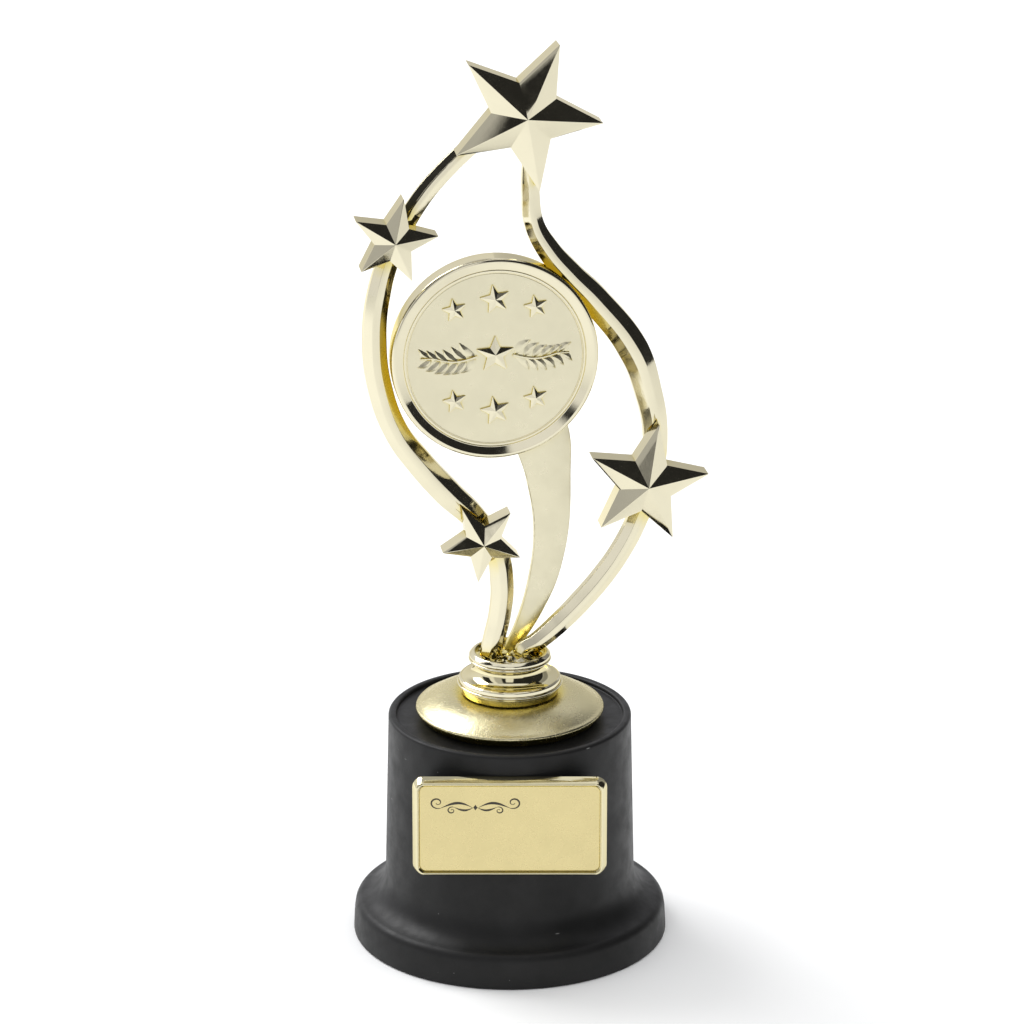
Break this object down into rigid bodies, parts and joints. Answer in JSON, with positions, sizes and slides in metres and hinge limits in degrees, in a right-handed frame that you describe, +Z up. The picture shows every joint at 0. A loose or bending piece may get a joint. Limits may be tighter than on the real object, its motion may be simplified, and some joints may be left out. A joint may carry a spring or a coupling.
{
  "type": "star trophy",
  "caption": "Gold metallised award figure of faceted stars and curved arms round a raised medal, screwed by a collar to a round black base with a framed plate.",
  "frame": {"origin": "on the base's vertical axis, at the underside that stands on the table", "axes": "+Z up; the name plate faces -Y; +X is to the right when the plate is seen from the front"},
  "size_m": [0.0728, 0.065, 0.1898],
  "materials": {
    "gold_bright": "vacuum-metallised, polished pale gold",
    "gold_satin": "vacuum-metallised, satin pale gold",
    "black_plastic": "moulded, fine satin texture",
    "zinc_steel": "zinc plated",
    "foam": "matt",
    "adhesive_tape": "matt"
  },
  "bodies": {
    "base": {"base_shell": "black_plastic", "base_weight": "zinc_steel", "bottom_pad": "foam", "plate_frame": "gold_bright", "name_plate": "gold_satin", "plate_tape": "adhesive_tape"},
    "figure": {"dome_foot": "gold_satin", "collar": "gold_bright", "hex_nut": "zinc_steel", "fixing_screw": "zinc_steel", "washer": "zinc_steel", "left_arm": "gold_bright", "right_arm": "gold_bright", "blade": "gold_satin", "medal_ring": "gold_bright", "medal_face": "gold_satin", "medal_back": "gold_satin", "star_top": "gold_bright", "star_left": "gold_bright", "star_right": "gold_bright", "star_low": "gold_bright"}
  },
  "joints": [
    {"name": "figure_swivel", "type": "hinge", "parent": "base", "child": "figure", "pos_m": [0, 0, 0.0474], "axis": [0, 0, 1], "continuous": true}
  ]
}
